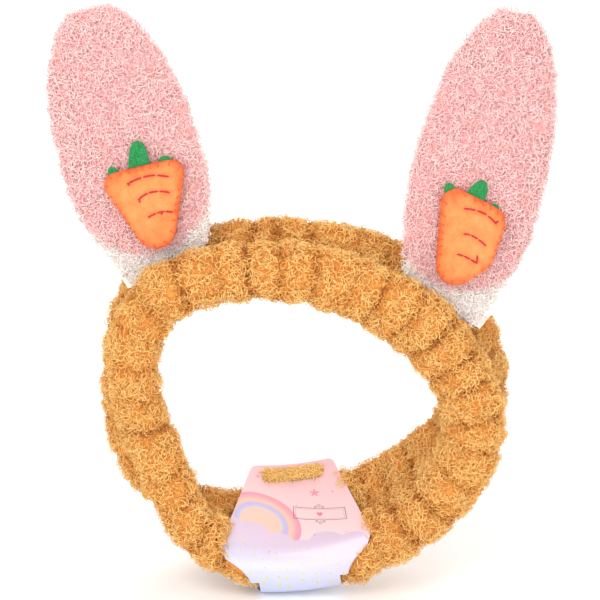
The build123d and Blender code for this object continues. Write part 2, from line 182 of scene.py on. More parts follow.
class Nodes:
    """Short calls that add and join the nodes of one material."""

    def __init__(self, name, roughness=0.9, sheen=0.0, sheen_colour=(255, 255, 255), coat=0.0):
        self.material = bpy.data.materials.new(name)
        self.material.use_nodes = True
        self.tree = self.material.node_tree
        self.shader = self.tree.nodes["Principled BSDF"]
        self.shader.inputs["Roughness"].default_value = roughness
        self.shader.inputs["Sheen Weight"].default_value = sheen
        self.shader.inputs["Sheen Roughness"].default_value = 0.45
        self.shader.inputs["Sheen Tint"].default_value = linear(sheen_colour)
        self.shader.inputs["Coat Weight"].default_value = coat
        self.shader.inputs["Coat Roughness"].default_value = 0.08
        self.coords = self.tree.nodes.new("ShaderNodeTexCoord").outputs["Object"]

    def join(self, source, socket):
        if isinstance(source, (int, float, tuple)):
            socket.default_value = source
        else:
            self.tree.links.new(source, socket)

    def value(self, name):
        node = self.tree.nodes.new("ShaderNodeAttribute")
        node.attribute_name = name
        return node.outputs["Fac"]

    def noise(self, size, detail=2.0, stretch=(1, 1, 1)):
        """Noise with features of about size millimetres."""
        scale = self.tree.nodes.new("ShaderNodeMapping")
        scale.inputs["Scale"].default_value = stretch
        self.join(self.coords, scale.inputs["Vector"])
        node = self.tree.nodes.new("ShaderNodeTexNoise")
        node.inputs["Scale"].default_value = 1 / (size * MM)
        node.inputs["Detail"].default_value = detail
        self.join(scale.outputs["Vector"], node.inputs["Vector"])
        return node.outputs["Fac"]

    def math(self, kind, a, b=0.0, c=0.0):
        node = self.tree.nodes.new("ShaderNodeMath")
        node.operation = kind
        for source, socket in zip((a, b, c), node.inputs):
            self.join(source, socket)
        return node.outputs[0]

    def ramp(self, source, *stops):
        """Colour ramp through (place, colour) stops, colours as 0 to 255."""
        node = self.tree.nodes.new("ShaderNodeValToRGB")
        self.join(source, node.inputs["Fac"])
        elements = node.color_ramp.elements
        while len(elements) < len(stops):
            elements.new(0.5)
        for element, (place, colour) in zip(elements, stops):
            element.position = place
            element.color = linear(colour)
        return node.outputs["Color"]

    def mix(self, share, a, b, kind="MIX"):
        node = self.tree.nodes.new("ShaderNodeMix")
        node.data_type = "RGBA"
        node.blend_type = kind
        for source, socket in zip((share, a, b), (node.inputs[0], node.inputs[6], node.inputs[7])):
            self.join(source, socket)
        return node.outputs[2]

    def bump(self, height, distance, strength=0.6):
        node = self.tree.nodes.new("ShaderNodeBump")
        node.inputs["Distance"].default_value = distance * MM
        node.inputs["Strength"].default_value = strength
        self.join(height, node.inputs["Height"])
        self.join(node.outputs["Normal"], self.shader.inputs["Normal"])

    def finish(self, colour):
        self.join(colour, self.shader.inputs["Base Color"])
        return self.material


def pile_material(name, painted_shade_colour, mid, light, sheen_colour, sheen=0.25):
    """Curled fibres with painted shade, darker at the root, in creases and between tufts, and paler at the
    tip; each fibre a little different.
    """
    nodes = Nodes(name, roughness=0.85, sheen=sheen, sheen_colour=sheen_colour)
    # Painted shade and light: each fibre is darker toward its root and paler toward its tip.
    height = nodes.math("MULTIPLY_ADD", nodes.value("tip"), 0.55, 0.18)
    toned = nodes.math("MULTIPLY_ADD", nodes.value("tone"), 0.30, height)
    patchy = nodes.math("MULTIPLY_ADD", nodes.noise(9), 0.25, toned)
    # Painted shade: darker in the band's creases and between tufts; a negative value, as on the slot's
    # fibres, paints light instead.
    shaded = nodes.math("MULTIPLY_ADD", nodes.value("painted_shade"), -0.7, patchy)
    return nodes.finish(nodes.ramp(shaded, (0.05, painted_shade_colour), (0.45, mid), (1.0, light)))


def cloth_material(name, dark, light, rib=0.9):
    """Knitted backing that shows between the fibres."""
    nodes = Nodes(name, roughness=0.95, sheen=0.2, sheen_colour=light)
    knit = nodes.noise(rib, 3.0, (1, 1, 0.5))
    share = nodes.math("MULTIPLY_ADD", nodes.noise(6), 0.5, nodes.math("MULTIPLY", knit, 0.5))
    nodes.bump(knit, 0.4)
    return nodes.finish(nodes.ramp(share, (0.3, dark), (0.75, light)))


def thread_material(name, dark, light):
    nodes = Nodes(name, roughness=0.6, sheen=0.3, sheen_colour=light)
    ply = nodes.noise(0.5, 2.0)
    nodes.bump(ply, 0.1)
    return nodes.finish(nodes.ramp(ply, (0.35, dark), (0.65, light)))


def velour_material(name, dark, mid, light):
    """Short-pile cloth of the carrots, with fine ribs, and painted shade that darkens it towards the rim."""
    nodes = Nodes(name, roughness=0.9, sheen=0.25, sheen_colour=(255, 190, 150))
    fibre = nodes.noise(0.5, 4.0, (1, 1, 0.35))
    worn = nodes.noise(5, 2.0)
    # Painted shade: the cloth is darker towards the carrot's rim, where it rounds over.
    edge = nodes.math("MULTIPLY", nodes.value("edge"), 0.35)
    plain = nodes.math("MULTIPLY_ADD", fibre, 0.45, nodes.math("MULTIPLY", worn, 0.6))
    share = nodes.math("SUBTRACT", plain, edge)
    nodes.bump(fibre, 0.25)
    return nodes.finish(nodes.ramp(share, (0.1, dark), (0.42, mid), (0.75, light)))


def felt_material(name, dark, light):
    nodes = Nodes(name, roughness=1.0, sheen=0.3, sheen_colour=(120, 200, 140))
    fibre = nodes.noise(0.7, 5.0)
    nodes.bump(fibre, 0.3)
    return nodes.finish(nodes.ramp(fibre, (0.3, dark), (0.7, light)))


YELLOW_PILE = pile_material("yellow_pile", (170, 88, 20), (236, 168, 78), (252, 208, 128), (255, 224, 168))
PINK_PILE = pile_material("pink_pile", (244, 172, 170), (252, 199, 196), (255, 217, 214), (255, 236, 234))
CREAM_PILE = pile_material(
    "cream_pile", (255, 236, 228), (255, 246, 239), (255, 250, 246), (255, 244, 238), sheen=0.8
)
YELLOW_CLOTH = cloth_material("yellow_cloth", (190, 114, 42), (228, 158, 74))
PINK_CLOTH = cloth_material("pink_cloth", (236, 160, 160), (250, 190, 188))
CREAM_CLOTH = cloth_material("cream_cloth", (250, 232, 222), (255, 246, 240))
CARROT_VELOUR = velour_material("carrot_velour", (214, 84, 34), (240, 124, 66), (250, 150, 88))
GREEN_FELT = felt_material("green_felt", (16, 92, 44), (44, 152, 84))
RED_THREAD = thread_material("red_thread", (150, 16, 34), (208, 44, 62))
ORANGE_THREAD = thread_material("orange_thread", (206, 76, 34), (236, 110, 58))
CREAM_THREAD = thread_material("cream_thread", (226, 206, 190), (250, 240, 230))
YELLOW_THREAD = thread_material("yellow_thread", (196, 112, 34), (240, 168, 84))
FIBRE = cloth_material("fibre_filling", (226, 226, 222), (250, 250, 246), 2.5)
ELASTIC = cloth_material("woven_elastic", (214, 210, 200), (244, 242, 236), 0.7)


# ---------------------------------------------------------------- tubes: fibres and threads
CELL_MARGIN = 0.1           # of a tube's cell in the bake layout


def tubes(name, paths, radii, plane_normals, material, values=None, sides=3):
    """One mesh of closed tubes, each with its own cell in the bake layout.

    paths are (tubes, points, 3), radii (tubes, points) or one number, and plane_normals (tubes, 3) is a
    direction that each path doesn't run along. values are a number for each tube, by name."""
    count, steps, _ = paths.shape
    along = unit(np.gradient(paths, axis=1))
    side = unit(np.cross(along, plane_normals[:, None, :]))
    up = np.cross(side, along)
    turn = np.arange(sides) / sides * math.tau
    ring = side[:, :, None, :] * np.cos(turn)[:, None] + up[:, :, None, :] * np.sin(turn)[:, None]
    radii = np.broadcast_to(radii, (count, steps))
    points = paths[:, :, None, :] + ring * radii[:, :, None, None]
    first = np.arange(count)[:, None] * steps * sides
    quads = (first[:, :, None] + grid_faces(steps, sides)[None]).reshape(-1, 4)
    near = first + np.arange(sides)
    far = first + (steps - 1) * sides + np.arange(sides)[::-1]
    cells = math.ceil(math.sqrt(count))
    corner = np.stack([np.arange(count) % cells, np.arange(count) // cells], -1) / cells
    r, c = np.divmod(np.arange((steps - 1) * sides), sides)
    u = np.stack([r, r, r + 1, r + 1], -1) / (steps - 1)
    v = np.stack([c, c + 1, c + 1, c], -1) / sides
    cell = (CELL_MARGIN + (1 - 2 * CELL_MARGIN) * np.stack([u, v], -1)) / cells
    quad_uv = (corner[:, None, None, :] + cell[None]).reshape(-1, 2)
    near_uv = np.repeat(corner + CELL_MARGIN / cells, sides, 0)
    far_uv = np.repeat(corner + (1 - CELL_MARGIN) / cells, sides, 0)
    layout = np.concatenate([quad_uv, near_uv, far_uv])
    piece = mesh_piece(name, points, [quads, near, far], layout, material)
    tip = np.broadcast_to((np.arange(steps) / (steps - 1))[None, :, None], (count, steps, sides))
    set_value(piece, "tip", tip.reshape(-1))
    for key, per_tube in (values or {}).items():
        set_value(piece, key, np.repeat(per_tube, steps * sides))
    return piece


def sample_grid(points, normals, weights, count, rng, extra=None, wrap_rows=False):
    """Random places on a grid of quads, by area times weight: position, normal and the extra values there."""
    faces = grid_faces(*points.shape[:2], wrap_rows)
    flat = points.reshape(-1, 3)
    diagonal_a = flat[faces[:, 2]] - flat[faces[:, 0]]
    diagonal_b = flat[faces[:, 3]] - flat[faces[:, 1]]
    area = np.linalg.norm(np.cross(diagonal_a, diagonal_b), axis=1) * weights.reshape(-1)[faces].mean(1)
    chosen = faces[rng.choice(len(faces), count, p=area / area.sum())]
    u, v = rng.random((2, count, 1))
    share = np.stack([(1 - u) * (1 - v), u * (1 - v), u * v, (1 - u) * v], 1)
    place = (flat[chosen] * share).sum(1)
    normal = unit((normals.reshape(-1, 3)[chosen] * share).sum(1))
    extra = extra or {}
    values = {key: (value.reshape(-1)[chosen] * share[..., 0]).sum(1) for key, value in extra.items()}
    return place, normal, values


CURL_STEPS = 6
CURL_LENGTH = (4.0, 6.6)
CURL_BEND_R = (0.75, 1.7)
CURL_R = 0.25
CURL_TIP = 0.62             # of its radius
CURL_ROOT = 0.6             # under the cloth's surface
CURL_STEM = 1.5             # steps before it starts to bend
CURL_LEAN = 34              # degrees either way
CURL_DRIFT = 0.55
CURL_MOST_DOWN = -0.55      # share of a step that may lead back to the cloth
MOST_CURLS = 6200           # in one piece
TUFT_REACH = 1.6            # of the usual distance from a tuft's middle


def curls(name, place, normal, values, rng, material, scale=1.0):
    """Curly fibres rooted just under the surface, each a straight stem and then a slightly twisted bend."""
    count = len(place)
    helper = unit(rng.normal(size=(count, 3)))
    heading = unit(helper - (helper * normal).sum(1, keepdims=True) * normal)
    sideways = np.cross(normal, heading)
    length = rng.uniform(*CURL_LENGTH, count) * scale
    bend = rng.uniform(*CURL_BEND_R, count) * scale * rng.choice([-1, 1], count)
    lean = np.radians(rng.normal(0, CURL_LEAN, count))
    drift = rng.normal(0, CURL_DRIFT, count)
    step = length / (CURL_STEPS - 1)
    paths = np.zeros((count, CURL_STEPS, 3))
    paths[:, 0] = place - CURL_ROOT * normal
    for k in range(1, CURL_STEPS):
        turned = lean + np.maximum(k - CURL_STEM, 0) * step / bend
        away = np.maximum(np.cos(turned), CURL_MOST_DOWN)
        move = away[:, None] * normal + np.sin(turned)[:, None] * heading + drift[:, None] * sideways
        paths[:, k] = paths[:, k - 1] + unit(move) * step[:, None]
    taper = np.linspace(1.0, CURL_TIP, CURL_STEPS)
    radii = rng.uniform(0.8, 1.2, count)[:, None] * taper * CURL_R
    return tubes(name, paths, radii, sideways, material, {**values, "tone": rng.random(count)})


def tufts(place, normal, each, spread, rise, rng):
    """Fibres gathered into small bumps of about so many each, as places, directions and share of the rise."""
    middles = place[rng.permutation(len(place))[: len(place) // each]]
    tree = kdtree.KDTree(len(middles))
    for k, middle in enumerate(middles):
        tree.insert(middle, k)
    tree.balance()
    nearest = np.array([tree.find(point)[1] for point in place])
    away = place - middles[nearest]
    away = away - (away * normal).sum(1, keepdims=True) * normal
    reach = TUFT_REACH * np.median(np.linalg.norm(away, axis=1))
    share = 1 - np.clip(np.linalg.norm(away, axis=1) / reach, 0, 1) ** 2
    return place + normal * (rise * share)[:, None], unit(normal + spread * away / reach), share


# ---------------------------------------------------------------- band
LOOP = np.array([
    (88, 6), (71, 37), (39, 63), (-3, 76), (-48, 73), (-82, 52), (-88, 12),
    (-79, -36), (-59, -72), (-19, -79), (22, -73), (58.5, -54), (83, -26),
], float)
STATIONS = len(LOOP)
STATION_MM = 38.8
ROUND_MM = 158.0            # once round the section
SPAN_SIDE = 32.5
SPAN_CHANGE = 4.0
EDGE_R = 14.8
EDGE_R_CHANGE = 1.0
EDGE_R_SIDES = 1.6
EDGE_R_LESS = 0.4
TAG_SQUEEZE = 6.0
ROLL_MEAN = 4.0
ROLL_TOP_TO_BOTTOM = 15.0
ROLL_ENDS = 11.4
ROLL_ENDS_TURN = math.radians(-8.0)
ROLL_LEFT = 7.0
LEFT_AT = 140.0
LEFT_REACH = 45.0
ROLL_TUCK = 28.0
TUCK_AT = -146.0
TUCK_REACH = 52.0
PILE = 2.3                  # how far the fibres stand proud of the cloth
SEAM_STATION = 7.6
TAG_STATION = 9.38
INNER_MIDDLE = 0.25         # share of the outline at the middle of the head side
OUTER_MIDDLE = 0.75
NEAR_ROLL = 0.90            # where the cloth swells at the front
SEAM_VALLEY = 4.0
OUTER_VALLEY = 7.0
SWELLINGS = ((4.42, 3.0), (1.42, 5.0))      # under the ears, as station and height
SWELLING_REACH = 0.9
LUMPS = ((0.9, 17, 1), (0.45, 6.0, 2))      # height, wavelength and seed
GATHER_DEPTH = (1.4, 4.6)
GATHER_WOBBLE = (0.03, 0.10)
GATHER_SHAPE = 0.42         # lower is fuller between the creases
CREASE_HALF_W = 2.2

# Stations of the gathers' creases, in order round the loop.
CREASES = np.array([
    0.27, 0.72, 1.22, 1.70, 2.08, 2.44, 2.83, 3.20, 3.48, 3.87, 4.32, 4.78, 5.20, 5.62, 6.08,
    6.52, 7.02, 7.50, 8.02, 8.48, 8.98, 9.40, 9.84, 10.30, 10.74, 11.22, 11.80, 12.32, 12.78,
])


def share_near(angle, middle, reach):
    """1 in the direction middle (degrees), falling to 0 at reach degrees from it."""
    off = np.abs((np.degrees(angle) - middle + 180) % 360 - 180) / reach
    return np.cos(np.pi / 2 * np.minimum(off, 1)) ** 2


def section(s):
    """Centre, tangent, across, face, span and edge radii of the band at stations s."""
    s = np.asarray(s, float)
    first = np.floor(s).astype(int)
    t = s - first
    share = np.stack([(1 - t) ** 3, 3 * t**3 - 6 * t**2 + 4, -3 * t**3 + 3 * t**2 + 3 * t + 1, t**3], -1) / 6
    slope = np.stack([-((1 - t) ** 2), 3 * t**2 - 4 * t, -3 * t**2 + 2 * t + 1, t**2], -1) / 2
    near = LOOP[(first[..., None] + np.arange(-1, 3)) % STATIONS]
    x, z = np.moveaxis((share[..., None] * near).sum(-2), -1, 0)
    dx, dz = np.moveaxis((slope[..., None] * near).sum(-2), -1, 0)
    angle = np.arctan2(z, x)
    tuck = share_near(angle, TUCK_AT, TUCK_REACH)
    left = share_near(angle, LEFT_AT, LEFT_REACH)
    ends = ROLL_ENDS * np.cos(2 * (angle + ROLL_ENDS_TURN))
    roll = ROLL_MEAN - ROLL_TOP_TO_BOTTOM * np.sin(angle) - ends + ROLL_LEFT * left - ROLL_TUCK * tuck
    roll = np.radians(roll)
    none = np.zeros_like(x)
    depth = np.stack([none, none + 1, none], -1)
    inward = unit(np.stack([-dz, none, dx], -1))
    cos, sin = np.cos(roll)[..., None], np.sin(roll)[..., None]
    near_r = EDGE_R - EDGE_R_LESS + EDGE_R_CHANGE * np.sin(angle) + EDGE_R_SIDES * np.cos(angle)
    return {
        "centre": np.stack([x, none, z], -1),
        "tangent": unit(np.stack([dx, none, dz], -1)),
        "inward": inward,
        "across": depth * cos + inward * sin,
        "face": inward * cos - depth * sin,
        "span": SPAN_SIDE - SPAN_CHANGE * np.sin(angle),
        "near_r": near_r,
        "far_r": near_r - TAG_SQUEEZE * np.maximum(0, -np.sin(angle)) ** 4,
    }


# The section's outline runs from the near edge's front (t = 0) over the head side (0.25), the far
# edge (0.5) and the outer side (0.75). These are the shares at which its arcs and lines end.
NEAR_ARC_END = 0.147
FAR_ARC_START = 0.353


def outline(cut, t):
    """Point (across, face) and normal of the plain section at share t of its outline."""
    lean = np.arcsin((cut["near_r"] - cut["far_r"]) / cut["span"])
    half = np.minimum(t, 1 - t)
    side = np.where(t < 0.5, 1.0, -1.0)
    near_turn = np.pi - (np.pi / 2 + lean) * np.clip(half / NEAR_ARC_END, 0, 1)
    far_turn = (np.pi / 2 - lean) * (1 - np.clip((half - FAR_ARC_START) / (0.5 - FAR_ARC_START), 0, 1))
    turn = np.where(half < FAR_ARC_START, near_turn, far_turn)
    move = np.clip((half - NEAR_ARC_END) / (FAR_ARC_START - NEAR_ARC_END), 0, 1)
    radius = cut["near_r"] + (cut["far_r"] - cut["near_r"]) * move
    x = cut["span"] * (move - 0.5) + radius * np.cos(turn)
    return x, side * radius * np.sin(turn), np.cos(turn), side * np.sin(turn)


def gathers(s, t):
    """How far the gathers pull the cloth in at (s, t), and how close that place is to one of the creases, 0
    to 1, which sets the fibres' painted shade.
    """
    rng = np.random.default_rng(SEED)
    count = len(CREASES)
    depth = rng.uniform(*GATHER_DEPTH, (count, 2))
    wobble, phase = rng.uniform(*GATHER_WOBBLE, count), rng.uniform(0, 1, count)
    lobe = 0.5 + 0.5 * np.cos(math.tau * t)
    best_low = np.full(s.shape, -np.inf)
    best_high = np.full(s.shape, np.inf)
    low_depth, high_depth = np.zeros(s.shape), np.zeros(s.shape)
    for turn in (-STATIONS, 0, STATIONS):
        for k in range(count):
            at = CREASES[k] + turn + wobble[k] * np.sin(math.tau * (t + phase[k]))
            here = depth[k, 0] * lobe + depth[k, 1] * (1 - lobe)
            below = (at <= s) & (at > best_low)
            above = (at > s) & (at < best_high)
            best_low = np.where(below, at, best_low)
            low_depth = np.where(below, here, low_depth)
            best_high = np.where(above, at, best_high)
            high_depth = np.where(above, here, high_depth)
    x = (s - best_low) / (best_high - best_low)
    puff = np.clip(4 * x * (1 - x), 0, 1) ** GATHER_SHAPE
    pull = (low_depth * (1 - x) + high_depth * x) * (1 - puff)
    nearest = np.minimum(s - best_low, best_high - s) * STATION_MM
    strength = np.where(x < 0.5, low_depth, high_depth) / GATHER_DEPTH[1]
    return pull, np.exp(-((nearest / CREASE_HALF_W) ** 2)) * strength


TAG_CUT = section(np.array(TAG_STATION))
TAG_LEAN = math.asin(float((TAG_CUT["near_r"] - TAG_CUT["far_r"]) / TAG_CUT["span"]))
TAG_OUTWARD = TAG_CUT["face"] * math.cos(TAG_LEAN) + TAG_CUT["across"] * math.sin(TAG_LEAN)
TAG_UP = np.cross(TAG_OUTWARD, TAG_CUT["tangent"])
TAG_BEND_R = 120.0
CARD_T = 0.5
CARD_GAP = 0.8
# Half outlines of the card's front and of its panel behind, as (height, half width) from neck to top.
TAG_HALF_WIDTHS = (
    np.array([(-48, 20.3), (-34.2, 20.3), (-30.8, 25.5), (-25.5, 35.5), (-20.5, 37.6), (35.5, 20.5)]),
    np.array([(-48, 20.3), (-29, 20.3), (-19, 25.5), (-11, 35.5), (-6, 37.6), (35.5, 20.5)]),
)
SLOT_HALF_W = 16.0
SLOT_HALF_H = 3.75
SLOT_MIDDLE = 27.5
TAG_TOP = 35.5
PANEL_OUT = float(TAG_CUT["near_r"]) + CARD_GAP + CARD_T - float(TAG_CUT["span"]) / 2 * math.sin(TAG_LEAN)
TAG_AXIS = TAG_CUT["centre"] + TAG_CUT["inward"] * TAG_BEND_R
CLOTH_ROOM = 0.6            # between the pressed cloth and the card
FAR_IN = 20.0               # no cloth is farther out of the card than this
TAG_REACH = 1.6             # stations from the card's middle, past its ends
PRESS_MARGIN = 1.0          # the cloth is pressed this far past the card's edges
PRESSED_IN = 2.0
CLOTH_OUT = 0.3             # the cloth and its fibres stand a little past the CAD's outline


def card_room(points, grow=0.0):
    """For points near the band: room to the card's inner face (inf where it isn't over them), and the way
    out there. grow moves the card's edges outwards."""
    offset = points - TAG_AXIS
    toward, along = offset @ TAG_CUT["inward"], offset @ TAG_CUT["tangent"]
    depth, turn = TAG_BEND_R - np.hypot(toward, along), np.arctan2(along, -toward)
    flat = np.stack([depth, offset[..., 1]], -1)
    inwards = TAG_CUT["inward"] * np.cos(turn)[..., None] - TAG_CUT["tangent"] * np.sin(turn)[..., None]

    def flat_axis(axis):
        return np.array([axis @ TAG_CUT["inward"], axis[1]])

    across, face = flat_axis(TAG_CUT["across"]), flat_axis(TAG_CUT["face"])
    side = np.where(flat @ face >= 0, 1.0, -1.0)[..., None]
    outward = side * face * math.cos(TAG_LEAN) + across * math.sin(TAG_LEAN)
    upward = across * math.cos(TAG_LEAN) - side * face * math.sin(TAG_LEAN)
    w, out = (flat * upward).sum(-1), (flat * outward).sum(-1)
    from_edge = flat + across * TAG_CUT["span"] / 2
    folded = from_edge @ across < 0
    outward = np.where(folded[..., None], unit(from_edge), outward)
    folded_room = TAG_CUT["near_r"] + CARD_GAP - np.linalg.norm(from_edge, axis=-1)
    room = np.where(folded, folded_room, PANEL_OUT - CARD_T - out)
    u = turn * (TAG_BEND_R - PANEL_OUT)
    half = np.where(side[..., 0] > 0, *[np.interp(w, *widths.T) for widths in TAG_HALF_WIDTHS])
    over = (np.abs(u) < half + grow) & (w < TAG_TOP + grow) & (room > -FAR_IN)
    way = inwards * outward[..., :1] + np.array([0, 1, 0]) * outward[..., 1:]
    return np.where(over, room, np.inf), way


def band_surface(s, t):
    """Points of the band's cloth at stations s and shares t, and how close each is to one of the creases,
    which sets the fibres' painted shade.
    """
    cut = section(s)
    x, y, nx, ny = outline(cut, t)
    u, v = s * STATION_MM, t * ROUND_MM
    pull, painted_shade = gathers(s, t)
    seam_valley = SEAM_VALLEY * bump_at(t, INNER_MIDDLE, 0.12)
    outer_valley = OUTER_VALLEY * bump_at(t, OUTER_MIDDLE, 0.125)
    near = bump_at(t, NEAR_ROLL, 0.13)
    full = sum(height * bump_at(s, station, SWELLING_REACH) * near for station, height in SWELLINGS)
    lumps = sum(height * waves(u, v, size, SEED + seed) for height, size, seed in LUMPS)
    out = full + lumps - pull - seam_valley - outer_valley - PILE + CLOTH_OUT
    plain = cut["centre"] + cut["across"] * x[..., None] + cut["face"] * y[..., None]
    close = np.abs(s - TAG_STATION) < TAG_REACH
    under = close & np.isfinite(card_room(plain, PRESS_MARGIN)[0])
    out = np.where(under, np.minimum(out, -PRESSED_IN), out)
    x, y = x + nx * out, y + ny * out
    points = cut["centre"] + cut["across"] * x[..., None] + cut["face"] * y[..., None]
    room, way = card_room(points, PRESS_MARGIN)
    press = np.where(close, np.maximum(CLOTH_ROOM - room, 0), 0)
    return points - way * press[..., None], painted_shade


BAND_ROWS = 460
BAND_COLUMNS = 150
BAND_CURLS = 72000
BAND_TUFT = {"each": 13, "spread": 0.55, "rise": 1.1}
PILE_ROOM = 3.0             # less room than this under the card leaves no place for upright fibres
PILE_MARGIN = -1.6          # fibres stand this far in from the card's edges
BESIDE_MARGIN = 4.5         # and are longer this far past them
BESIDE_RISE = 1.4
BESIDE_SIZE = 1.25
TUFT_SHADE = 0.55           # painted shade, darker between the tufts


def make_band():
    s, t = np.meshgrid(
        np.arange(BAND_ROWS) / BAND_ROWS * STATIONS, np.arange(BAND_COLUMNS) / BAND_COLUMNS, indexing="ij"
    )
    points, painted_shade = band_surface(s, t)
    normals, faces, layout = round_grid(points, section(s)["centre"], True)
    cloth = mesh_piece("band_cloth", points, [faces], layout, YELLOW_CLOTH)
    settle(cloth, "band", "yellow_plush", "band_sleeve")

    rng = np.random.default_rng(SEED + 10)
    place, normal, values = sample_grid(
        points, normals, np.ones(s.shape), BAND_CURLS, rng, {"painted_shade": painted_shade, "station": s}, True
    )

    def tight(margin):
        return (card_room(place, margin)[0] < PILE_ROOM) & (np.abs(station - TAG_STATION) < TAG_REACH)

    station = values["station"]
    free = ~tight(PILE_MARGIN)
    place, normal, station = place[free], normal[free], station[free]
    order = np.argsort(station, kind="stable")
    beside = tight(BESIDE_MARGIN)
    place, normal, share = tufts(place, normal, **BAND_TUFT, rng=rng)
    place = place + normal * np.where(beside, BESIDE_RISE, 0)[:, None]
    # Painted shade: darker in the gathers' creases and between the tufts.
    painted_shade = values["painted_shade"][free] + TUFT_SHADE * (TUFT_SHADE - share)
    size = np.where(beside, BESIDE_SIZE, 1.0)
    for k, chosen in enumerate(np.array_split(order, math.ceil(len(order) / MOST_CURLS))):
        own = {"painted_shade": painted_shade[chosen]}
        pile = curls(f"band_pile_{k + 1}", place[chosen], normal[chosen], own, rng, YELLOW_PILE, size[chosen])
        settle(pile, "band", "yellow_plush", "band_sleeve")


make_band()


# ---------------------------------------------------------------- ears
EAR_LENGTH = 134.0
EAR_WIDEST = 50.0
EAR_ROUNDNESS = 2.15
BASE_NARROWING = 0.30
BASE_THINNING = 0.66
BACK_LEAN = math.radians(12.0)
PINK_ROUND_Z = 34.0
PINK_ROUND_R = 34.0
EAR_ROOT = 9.0              # how far the cloth runs down between the band's rolls
EARS = {
    "left": {"slant": 16.5, "stretch": 0.915, "half_w": 35.6},
    "right": {"slant": -25.0, "stretch": 1.04, "half_w": 33.8},
}
EAR_ROWS = 110
EAR_COLUMNS = 112
EAR_CURLS = 12000           # on each of its two cloths
EAR_TUFT = {"each": 11, "spread": 0.55, "rise": 0.9}
# Painted shade between the ear's tufts.
EAR_TUFT_SHADE = 0.5
EAR_CLOTH_DEPTH = 6.3       # half of it, under the fibres
EAR_TIP_GAP = 1.2
EAR_LUMPS = ((0.8, 19, 0), (0.4, 6.5, 1))   # height, wavelength and seed


def ear_frame(side):
    """Origin and x, y (back) and z (up) of an ear, and its upright before the slant, from its joint."""
    joint = JOINTS[f"{side}_ear_fold"]
    origin = np.array(joint["pos_m"]) / MM
    along = np.array(joint["axis"], float)
    upright = np.array([-along[2], 0, along[0]])
    up = upright * math.cos(BACK_LEAN) + np.array([0, 1, 0]) * math.sin(BACK_LEAN)
    slant = math.radians(EARS[side]["slant"])
    x = along * math.cos(slant) - up * math.sin(slant)
    z = up * math.cos(slant) + along * math.sin(slant)
    return {"origin": origin, "x": x, "y": np.cross(z, x), "z": z, "hinge_up": up}


def placed(ear, points):
    """Points of the row frame from points (x, back, up) of an ear."""
    axes = np.stack([ear["x"], ear["y"], ear["z"]])
    return ear["origin"] + np.asarray(points, float) @ axes


def ear_half_size(side, height):
    """Half width and half depth of an ear's cloth at a height of its pattern."""
    rise = np.clip((height - EAR_WIDEST) / (EAR_LENGTH - EAR_WIDEST), 0, 1)
    above = (1 - rise**EAR_ROUNDNESS) ** (1 / EAR_ROUNDNESS)
    fall = ((EAR_WIDEST - height) / EAR_WIDEST) ** 2
    width = np.where(height > EAR_WIDEST, above, 1 - BASE_NARROWING * fall)
    depth = np.where(height > EAR_WIDEST, above, np.maximum(1 - BASE_THINNING * fall, 1 - BASE_THINNING))
    return (EARS[side]["half_w"] - PILE) * width, EAR_CLOTH_DEPTH * depth


def ear_surface(side):
    """Grid of the ear's cloth in its own frame, from its root to its tip, and the turn round it."""
    stretch = EARS[side]["stretch"]
    slope = math.tan(math.radians(EARS[side]["slant"]))
    turn = np.arange(EAR_COLUMNS) / EAR_COLUMNS * math.tau
    rise = np.sin(np.linspace(0, 1, EAR_ROWS) * np.pi / 2)
    height, turn = np.meshgrid(rise * (EAR_LENGTH - EAR_TIP_GAP) * stretch, turn, indexing="ij")
    z = height.copy()
    for _ in range(12):
        half_w, half_d = ear_half_size(side, z / stretch)
        x = half_w * np.sin(turn)
        z = height + (x * slope - EAR_ROOT) * (1 - height / (EAR_LENGTH * stretch)) ** 2
    y = -half_d * np.cos(turn)
    seed = SEED + (20 if side == "left" else 30)
    lumps = sum(height * waves(x, z, size, seed + more) for height, size, more in EAR_LUMPS)
    y = y - np.sign(np.cos(turn)) * lumps * np.abs(np.cos(turn)) ** 0.5 * np.clip(half_d / 4, 0, 1)
    return x, y, z, turn


def pink_zone(side, x, z, turn):
    """True where the pink front cloth is: above its round lower end, on the front."""
    stretch = EARS[side]["stretch"]
    below = z < PINK_ROUND_Z
    outside = x**2 + (z - PINK_ROUND_Z) ** 2 > PINK_ROUND_R**2
    return (np.cos(turn) > -0.05) & ~(below & outside) & (z > -2 * stretch)


